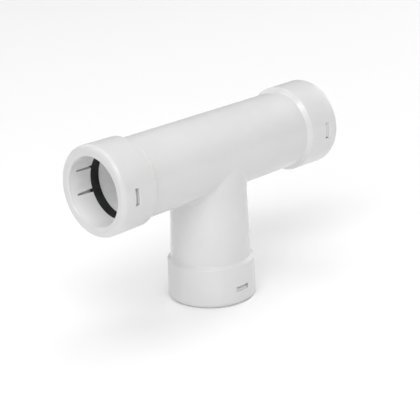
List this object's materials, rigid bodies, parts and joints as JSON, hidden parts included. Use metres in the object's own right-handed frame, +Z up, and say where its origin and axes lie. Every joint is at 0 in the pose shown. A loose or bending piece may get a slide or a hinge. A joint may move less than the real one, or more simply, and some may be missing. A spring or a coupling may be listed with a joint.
{
  "type": "pipe tee",
  "caption": "White plastic pipe tee with a push-fit bell on each arm; every bell holds a snap-in sleeve and a rubber lip seal, to join waste pipes at a right angle.",
  "frame": {"origin": "centre of the branch's mouth, on the surface that the tee stands on", "axes": "+X along the run towards its right mouth, +Y towards the back, +Z up from the branch's mouth to the run"},
  "size_m": [0.183, 0.054, 0.117],
  "materials": {
    "body_plastic": "satin moulded white PVC",
    "sleeve_plastic": "satin moulded white PVC",
    "seal_rubber": "matte black rubber"
  },
  "bodies": {
    "root": {"tee_body": "body_plastic", "left_sleeve": "sleeve_plastic", "right_sleeve": "sleeve_plastic", "branch_sleeve": "sleeve_plastic", "left_seal": "seal_rubber", "right_seal": "seal_rubber", "branch_seal": "seal_rubber"}
  },
  "joints": []
}
